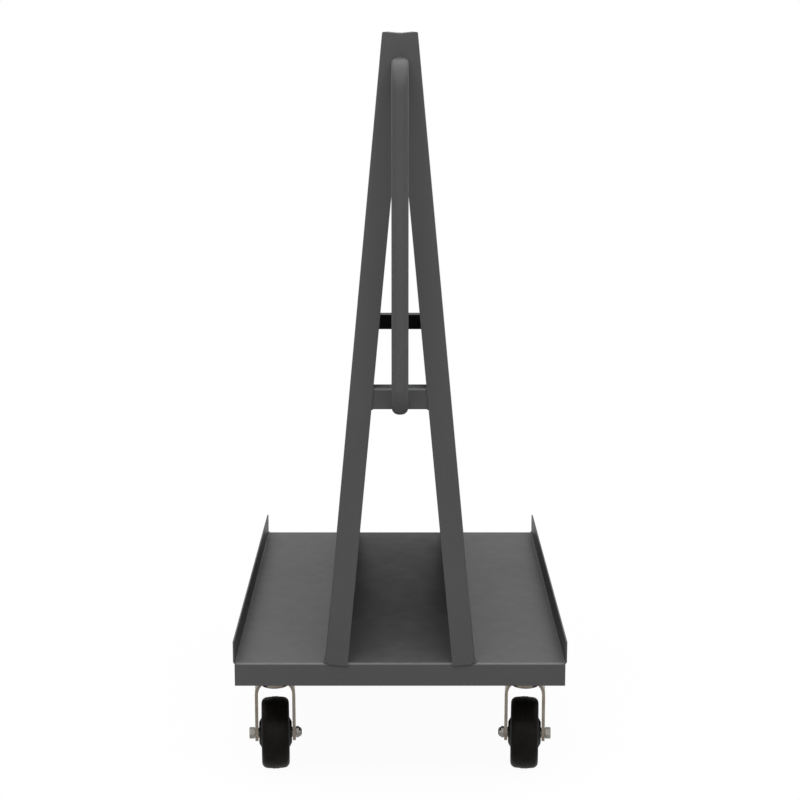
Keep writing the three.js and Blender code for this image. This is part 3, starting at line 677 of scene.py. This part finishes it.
def tyre(corner):
    """Tyre with a flat band round a crowned tread, which runs smoothly into its round shoulders."""
    side = TYRE_WIDTH / 2
    inner = RIM_RADIUS + SEAT_GAP
    shoulder_height = side - TREAD_SHOULDER
    crown_centre = WHEEL_RADIUS - TREAD_STEP - TREAD_RADIUS
    between = TREAD_RADIUS - TREAD_SHOULDER
    shoulder_centre = crown_centre + math.sqrt(between ** 2 - shoulder_height ** 2)
    meeting = math.asin(shoulder_height / between)
    band_edge = math.asin(TREAD_BAND / 2 / TREAD_RADIUS)
    half = [(inner, side - TYRE_EASE), (inner + TYRE_EASE, side)]
    for step in range(SHOULDER_STEPS + 1):
        angle = QUARTER_TURN + (meeting - QUARTER_TURN) * step / SHOULDER_STEPS
        radius = shoulder_centre + TREAD_SHOULDER * math.cos(angle)
        half.append((radius, shoulder_height + TREAD_SHOULDER * math.sin(angle)))
    for step in range(1, CROWN_STEPS + 1):
        angle = meeting + (band_edge - meeting) * step / CROWN_STEPS
        half.append((crown_centre + TREAD_RADIUS * math.cos(angle), TREAD_RADIUS * math.sin(angle)))
    half.append((WHEEL_RADIUS, TREAD_BAND / 2 - TREAD_STEP))
    bm = bmesh.new()
    lathe(bm, mirrored(half), WHEEL_SIDES, axle_place(corner))
    stand_for(corner + "_tyre", bm, RUBBER)


def rib(place, web):
    """A low radial rib on the wheel's web, from the barrel's foot to the rim."""
    inner = HUB_FOOT_RADIUS - RIB_WIDTH / 2
    outer = RIM_RADIUS - RIM_EDGE
    half = RIB_WIDTH / 2
    buried = web - math.copysign(RIB_EDGE, web)
    top = web + math.copysign(RIB_HEIGHT, web)
    section = ((-half, buried), (half, buried), (half, top), (-half, top))
    bm = bmesh.new()
    loft(bm, [[place @ Vector((radius, y, z)) for y, z in section] for radius in (inner, outer)])
    round_edges(bm, RIB_EDGE)
    return bm


def wheel_hub(corner):
    """Hub with a rounded barrel, a recessed web, low ribs on it and a rim."""
    side = TYRE_WIDTH / 2
    end = side + HUB_PROUD
    web = side - WEB_RECESS
    place = axle_place(corner)
    outline = rounded_outline(mirrored([
        (HUB_BORE, end, HUB_BORE_EASE),
        (HUB_END_RADIUS, end, HUB_END_ROUNDING),
        (HUB_FOOT_RADIUS, side, HUB_FOOT_ROUNDING),
        (HUB_FOOT_RADIUS, web, WEB_FILLET),
        (RIM_RADIUS - RIM_EDGE - WEB_RECESS, web, RIM_FILLET),
        (RIM_RADIUS - RIM_EDGE, side, RIM_ROUNDING),
        (RIM_RADIUS, side, RIM_EASE),
    ]))
    bm = bmesh.new()
    lathe(bm, outline, WHEEL_SIDES, place)
    for face in (1, -1):
        for angle in angles_round(RIB_COUNT):
            join(bm, rib(place @ Matrix.Rotation(angle, 4, "Z"), face * web))
    stand_for(corner + "_wheel_hub", bm, HUB_PLASTIC)


# Axles and plate bolts

def axle_bolt(corner):
    """Bolt with its head on the outer leg of the fork and its thread at the inner leg."""
    place = axle_place(corner)
    bm = bmesh.new()
    hexagon(bm, AXLE_FLATS, AXLE_FACE, AXLE_FACE + AXLE_HEAD, place)
    flipped = place @ Matrix.Rotation(math.pi, 4, "X")
    buried = -AXLE_FACE - AXLE_HEAD / 2
    threaded(bm, AXLE_RADIUS, buried, AXLE_FACE + AXLE_NUT + AXLE_STUB, flipped, 2 * AXLE_FACE)
    stand_for(corner + "_axle_bolt", bm, BOLT_ZINC)


def axle_nut(corner):
    """Lock nut on the inner leg of the fork: a hexagon with a round collar."""
    flipped = axle_place(corner) @ Matrix.Rotation(math.pi, 4, "X")
    hex_top = AXLE_FACE + LOCK_NUT_HEX * AXLE_NUT
    nut_top = AXLE_FACE + AXLE_NUT
    bm = bmesh.new()
    hexagon(bm, AXLE_FLATS, AXLE_FACE, hex_top, flipped, AXLE_BORE)
    collar = rounded_outline([
        (AXLE_BORE, hex_top, 0),
        (LOCK_NUT_COLLAR * AXLE_FLATS, hex_top, 0),
        (LOCK_NUT_COLLAR * AXLE_FLATS, nut_top, COLLAR_ROUNDING),
        (AXLE_BORE, nut_top, COLLAR_EASE),
    ])
    lathe(bm, collar, NUT_SIDES, flipped)
    stand_for(corner + "_axle_nut", bm, BOLT_ZINC)


def axle_sleeve(corner):
    """Sleeve round the axle, between the fork's legs."""
    half = FORK_HALF_WIDTH - FORK_LEG - SEAT_GAP
    profile = mirrored([
        (AXLE_BORE, half),
        (SLEEVE_RADIUS - SLEEVE_EASE, half),
        (SLEEVE_RADIUS, half - SLEEVE_EASE),
    ])
    bm = bmesh.new()
    lathe(bm, profile, NUT_SIDES, axle_place(corner))
    stand_for(corner + "_axle_sleeve", bm, BOLT_ZINC)


def plate_bolts(corner):
    """Hexagon bolts through caster plate and bolster, with their nuts."""
    for number in range(1, PLATE_BOLTS + 1):
        node = f"{corner}_plate_bolt_{number}"
        low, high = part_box(node)
        middle = (low + high) / 2
        place = Matrix.Translation((middle.x, middle.y, 0))
        nut_top = high.z - PLATE_BOLT_STUB
        bm = bmesh.new()
        hexagon(bm, PLATE_BOLT_FLATS, low.z, low.z + PLATE_BOLT_HEAD, place)
        hexagon(bm, PLATE_BOLT_FLATS, nut_top - PLATE_BOLT_NUT, nut_top, place)
        bare = nut_top - low.z - PLATE_BOLT_HEAD
        threaded(bm, PLATE_BOLT_RADIUS, low.z + PLATE_BOLT_HEAD / 2, high.z, place, bare)
        stand_for(node, bm, BOLT_ZINC)


# Forks and swivel bearings

def fork_legs(bm, top, corner, axle_y, place):
    """The bent plate of a fork: a U from the front, tapering to round ends at the axle."""
    axle_z = WHEEL_RADIUS
    shoulder = top - FORK_SHOULDER
    bend = rounded_outline([
        (-FORK_HALF_WIDTH, axle_z, 0),
        (-FORK_HALF_WIDTH, top, corner),
        (FORK_HALF_WIDTH, top, corner),
        (FORK_HALF_WIDTH, axle_z, 0),
    ], closed=False)
    heights = [axle_z - FORK_END * math.cos(math.radians(angle)) for angle in FORK_END_ANGLES]
    heights.append(shoulder)
    left = [Vector((-FORK_HALF_WIDTH, z)) for z in heights if z < top - corner]
    right = [Vector((FORK_HALF_WIDTH, point.y)) for point in reversed(left)]
    outer = left + bend[1:-1] + right
    rings = []
    for i, point in enumerate(outer):
        before = outer[max(i - 1, 0)]
        after = outer[min(i + 1, len(outer) - 1)]
        along = (after - before).normalized()
        inner = point + Vector((along.y, -along.x)) * FORK_LEG
        if point.y < axle_z:
            reach = math.sqrt(max(FORK_END ** 2 - (axle_z - point.y) ** 2, 0))
            back, front = axle_y + reach, axle_y - reach
        else:
            share = min((point.y - axle_z) / (shoulder - axle_z), 1)
            back = (axle_y + FORK_END) * (1 - share) + FORK_HALF_DEPTH * share
            front = (axle_y - FORK_END) * (1 - share) - FORK_HALF_DEPTH * share
        rings.append([
            place @ Vector((point.x, front, point.y)),
            place @ Vector((point.x, back, point.y)),
            place @ Vector((inner.x, back, inner.y)),
            place @ Vector((inner.x, front, inner.y)),
        ])
    loft(bm, rings)
    round_edges(bm, FORK_EDGE)


def swivel_fork(corner):
    """Fork of a swivel caster: legs, and a crown with its race seat and pressed dish."""
    dish_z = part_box(corner + "_king_nut")[0].z
    crown_z = dish_z + CROWN_HEIGHT
    pocket_z = dish_z + NUT_POCKET_DEPTH
    seat_z = crown_z - RACE_SEAT
    bore = KING_BOLT_RADIUS + SEAT_GAP
    axle = JOINTS[corner + "_wheel_spin"]["pos_m"]
    swivel = JOINTS[corner + "_swivel_turn"]["pos_m"]
    trail = -math.hypot(axle[0] - swivel[0], axle[1] - swivel[1])
    place = caster_place(corner)
    bm = bmesh.new()
    fork_legs(bm, crown_z, FORK_CORNER, trail, place)
    crown = rounded_outline([
        (bore, crown_z, 0),
        (bore, pocket_z, 0),
        (NUT_POCKET_RADIUS, pocket_z, 0),
        (NUT_POCKET_RADIUS, dish_z, CROWN_EASE),
        (DISH_RADIUS, dish_z, DISH_ROUNDING),
        (DISH_RADIUS, seat_z, SEAT_FILLET),
        (RACE_RADIUS, seat_z, SEAT_ROUNDING),
        (RACE_RADIUS, crown_z, CROWN_EASE),
    ])
    lathe(bm, crown, CROWN_SIDES, place)
    stand_for(corner + "_fork", bm, FORK_ZINC)


def rigid_fork(corner):
    """Fork of a rigid caster: the same legs under a bolted plate."""
    low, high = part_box(corner + "_fork")
    middle = (low + high) / 2
    plate_low, plate_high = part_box("front_left_top_plate")
    half_x = (plate_high.x - plate_low.x) / 2
    half_y = (plate_high.y - plate_low.y) / 2
    plate_under = high.z - (plate_high.z - plate_low.z)
    bm = bmesh.new()
    fork_legs(bm, plate_under + SEAT_GAP, RIGID_FORK_CORNER, 0, caster_place(corner))
    outline = rounded_outline([
        (middle.x + x * half_x, middle.y + y * half_y, PLATE_CORNER)
        for x, y in ((-1, -1), (1, -1), (1, 1), (-1, 1))
    ])
    plate = bmesh.new()
    loft(plate, [[Vector((point.x, point.y, z)) for point in outline] for z in (plate_under, high.z)])
    round_edges(plate, PLATE_EDGE)
    join(bm, plate)
    stand_for(corner + "_fork", bm, FORK_ZINC)


def swivel_bearing(corner):
    """Top plate, king bolt, king nut and ball race of a swivel caster."""
    for name, material in (("_top_plate", FORK_ZINC), ("_king_bolt", BOLT_ZINC)):
        stand_for(corner + name, eased_copy(corner + name, PLATE_EDGE), material)
    place = caster_place(corner)
    low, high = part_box(corner + "_king_nut")
    bm = bmesh.new()
    hexagon(bm, KING_NUT_FLATS, low.z, high.z, place, KING_BOLT_RADIUS + KING_NUT_GAP)
    stand_for(corner + "_king_nut", bm, BOLT_ZINC)
    low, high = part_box(corner + "_ball_race")
    groove_low = (low.z + high.z - RACE_GROOVE) / 2
    groove_high = groove_low + RACE_GROOVE
    race = rounded_outline([
        (RACE_BORE, low.z, 0),
        (RACE_RADIUS, low.z, RACE_ROUNDING),
        (RACE_RADIUS, groove_low, RACE_ROUNDING),
        (RACE_RADIUS - RACE_GROOVE_DEPTH, groove_low, 0),
        (RACE_RADIUS - RACE_GROOVE_DEPTH, groove_high, 0),
        (RACE_RADIUS, groove_high, RACE_ROUNDING),
        (RACE_RADIUS, high.z, RACE_ROUNDING),
        (RACE_BORE, high.z, 0),
    ])
    bm = bmesh.new()
    lathe(bm, race, CROWN_SIDES, place)
    stand_for(corner + "_ball_race", bm, RACE_STEEL)


def casters():
    """Four casters: those at the front swivel, and those at the rear are rigid."""
    for corner in CORNERS:
        tyre(corner)
        wheel_hub(corner)
        axle_bolt(corner)
        axle_nut(corner)
        axle_sleeve(corner)
        plate_bolts(corner)
        if corner.startswith("front"):
            swivel_fork(corner)
            swivel_bearing(corner)
        else:
            rigid_fork(corner)


# Welds

def bead(name, start, end, half_width, height, up, node):
    """A rippled weld bead along a straight line, oval across and with round ends."""
    start, end, up = Vector(start), Vector(end), Vector(up)
    length = (end - start).length
    across = (end - start).normalized().cross(up)
    steps = max(round(length / (RIPPLE_PITCH / RIPPLE_STEPS)), BEAD_STEPS)
    angles = angles_round(BEAD_SIDES)
    rings = []
    for step in range(steps + 1):
        along = length * step / steps
        from_end = min(along, length - along)
        share = min(from_end / half_width, 1)
        taper = math.sqrt(max(1 - (1 - share) ** 2, BEAD_TIP ** 2))
        swell = taper * (1 + RIPPLE_DEPTH * math.cos(2 * math.pi * along / RIPPLE_PITCH))
        centre = start.lerp(end, step / steps)
        rings.append([
            centre + across * (half_width * swell * math.cos(a)) + up * (height * swell * math.sin(a))
            for a in angles
        ])
    bm = bmesh.new()
    loft(bm, rings)
    add_piece(name, bm, PAINT, node)


def ring_bead(name, centre, radius, bead_radius, node):
    """A rippled bead round a tube that ends on a face across Y."""
    length = 2 * math.pi * radius
    ripples = round(length / RIPPLE_PITCH)
    angles = angles_round(BEAD_SIDES)
    rings = []
    for around in angles_round(round(length / (RIPPLE_PITCH / RIPPLE_STEPS))):
        outwards = Vector((math.cos(around), 0, math.sin(around)))
        reach = bead_radius * (1 + RIPPLE_DEPTH * math.cos(around * ripples))
        rings.append([
            centre + outwards * (radius + reach * math.cos(a)) + Vector((0, reach * math.sin(a), 0))
            for a in angles
        ])
    bm = bmesh.new()
    loft(bm, rings, closed=True)
    add_piece(name, bm, PAINT, node)


def stitches(name, start, end, count, node):
    """Short fillet beads spread evenly along a line, from end to end."""
    start, end = Vector(start), Vector(end)
    along = (end - start).normalized()
    for number in range(count):
        place = start.lerp(end - along * STITCH, number / (count - 1))
        bead(f"{name}_{number + 1}", place, place + along * STITCH, FILLET_WELD, FILLET_WELD, UP, node)


def foot_welds():
    """Stitches where the panels' outer faces stand on the deck."""
    for side, node in PANELS:
        foot = -side * panel_low.x
        start = (foot, panel_low.y + FILLET_WELD, DECK_TOP)
        end = (foot, panel_high.y - FILLET_WELD, DECK_TOP)
        stitches(node + "_foot_weld", start, end, FOOT_STITCHES, node)


def foot_corner_welds():
    """A heavier run of bead round each outer corner of the panels' feet."""
    for side, node in PANELS:
        foot = -side * panel_low.x
        for name, y, outwards in PANEL_ENDS:
            start = (foot, y - outwards * CORNER_WELD, DECK_TOP)
            end = (foot, y - outwards * (CORNER_WELD + CORNER_WELD_LENGTH), DECK_TOP)
            bead(f"{node}_{name}_corner_weld", start, end, CORNER_WELD, CORNER_WELD, UP, node)


def bolster_welds():
    """Stitches where the bolsters' flanges meet the underside of the deck."""
    for node in ("front_bolster", "rear_bolster"):
        low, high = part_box(node)
        for name, y in (("front", low.y), ("rear", high.y)):
            start = (low.x + STITCH, y, high.z)
            end = (high.x - STITCH, y, high.z)
            stitches(f"{node}_{name}_weld", start, end, BOLSTER_STITCHES, node)


def cross_angle_welds():
    """Beads behind the panels' flanges, along the lower edges of the cross angles."""
    for node, y in (("front_cross_angle", ANGLE_FRONT), ("rear_cross_angle", ANGLE_REAR)):
        low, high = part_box(node)
        outer = high.x - SHEET
        inner = outer - PANEL_FLANGE + 2 * SHEET
        for name, side in (("left", -1), ("right", 1)):
            start = (side * inner, y, low.z)
            end = (side * outer, y, low.z)
            bead(f"{node}_{name}_weld", start, end, FINE_WELD, FINE_WELD, UP, node)


def panel_seam_welds():
    """The seam between the panels: a bead along the ridge, ground flush on both ends."""
    node = "left_side_panel"
    rise_per_width = 1 / math.tan(LEAN)
    foot_z = DECK_TOP + SEAT_GAP + SHEET * math.sin(LEAN)
    meeting_z = foot_z + (-panel_low.x - PANEL_FLANGE / math.cos(LEAN)) * rise_per_width
    top_half_width = -panel_low.x - (panel_high.z - foot_z) / rise_per_width
    valley_z = panel_high.z - top_half_width / rise_per_width
    ridge_z = valley_z - RIDGE_SINK * RIDGE_WELD
    start = (0, panel_low.y + SHEET_EDGE, ridge_z)
    end = (0, panel_high.y - SHEET_EDGE, ridge_z)
    bead("ridge_weld", start, end, RIDGE_WELD, RIDGE_WELD, UP, node)
    for name, y, outwards in PANEL_ENDS:
        start = (0, y, meeting_z)
        end = (0, y, valley_z)
        bead(name + "_seam_weld", start, end, SEAM_HALF_WIDTH, SEAM_HEIGHT, (0, outwards, 0), node)


def handle_welds():
    """Beads round the handle's two ends."""
    for name, y, z in (("upper", panel_low.y, HANDLE_UPPER), ("lower", ANGLE_FRONT, HANDLE_LOWER)):
        ring_bead(f"handle_{name}_weld", Vector((0, y, z)), HANDLE_RADIUS, HANDLE_WELD, "push_handle")


# Stage, light and camera

def stage():
    """A pale floor, white where it is seen directly apart from the cart's soft shadow."""
    bpy.ops.mesh.primitive_plane_add(size=FLOOR_SIZE)
    floor = bpy.context.object
    floor.name = "floor"
    material, tree, shader = new_material("pale_floor")
    seen = seen_directly(tree)
    tree.links.new(mixed(tree, FLOOR_COLOUR, WHITE, seen), shader.inputs["Base Color"])
    shader.inputs["Roughness"].default_value = 1
    shader.inputs["Specular IOR Level"].default_value = 0
    coordinates = tree.nodes.new("ShaderNodeTexCoord")
    distance = tree.nodes.new("ShaderNodeVectorMath")
    distance.operation = "LENGTH"
    tree.links.new(coordinates.outputs["Object"], distance.inputs[0])
    reach = (SHADOW_NEAR, SHADOW_FAR)
    share = mapped(tree, distance.outputs["Value"], reach, (SHADOW_GLOW, 1), "SMOOTHSTEP")
    glow = tree.nodes.new("ShaderNodeEmission")
    mix = tree.nodes.new("ShaderNodeMixShader")
    tree.links.new(calculated(tree, "MULTIPLY", share, seen), mix.inputs["Fac"])
    tree.links.new(shader.outputs["BSDF"], mix.inputs[1])
    tree.links.new(glow.outputs["Emission"], mix.inputs[2])
    tree.links.new(mix.outputs["Shader"], tree.nodes["Material Output"].inputs["Surface"])
    floor.data.materials.append(material)


def white_world():
    """White where it is seen, and a soft fill on the object."""
    world = bpy.data.worlds.new("white")
    bpy.context.scene.world = world
    world.use_nodes = True
    tree = world.node_tree
    background = tree.nodes["Background"]
    background.inputs["Color"].default_value = WHITE
    strength = mapped(tree, seen_directly(tree), (0, 1), (FILL, 1))
    tree.links.new(strength, background.inputs["Strength"])


def softbox(name, place, aim, size, watts):
    """A rectangular lamp that faces the point it aims at."""
    data = bpy.data.lights.new(name, "AREA")
    data.shape = "RECTANGLE"
    data.size, data.size_y = size
    data.energy = watts
    lamp = bpy.data.objects.new(name, data)
    lamp.location = place
    lamp.rotation_mode = "QUATERNION"
    lamp.rotation_quaternion = (Vector(aim) - Vector(place)).to_track_quat("-Z", "Y")
    bpy.context.scene.collection.objects.link(lamp)


def lights():
    """The world's fill and the soft boxes."""
    white_world()
    for lamp in LAMPS:
        softbox(*lamp)


def camera():
    """The photograph's camera."""
    data = bpy.data.cameras.new("camera")
    data.lens = CAMERA_LENS
    data.sensor_width = SENSOR_WIDTH
    holder = bpy.data.objects.new("camera", data)
    holder.location = CAMERA_PLACE
    holder.rotation_euler = (CAMERA_TILT, 0, 0)
    bpy.context.scene.collection.objects.link(holder)
    bpy.context.scene.camera = holder


camera()
sheet_pieces()
push_handle()
casters()
foot_welds()
foot_corner_welds()
bolster_welds()
cross_angle_welds()
panel_seam_welds()
handle_welds()
stage()
lights()
bpy.context.scene.view_settings.view_transform = "Standard"
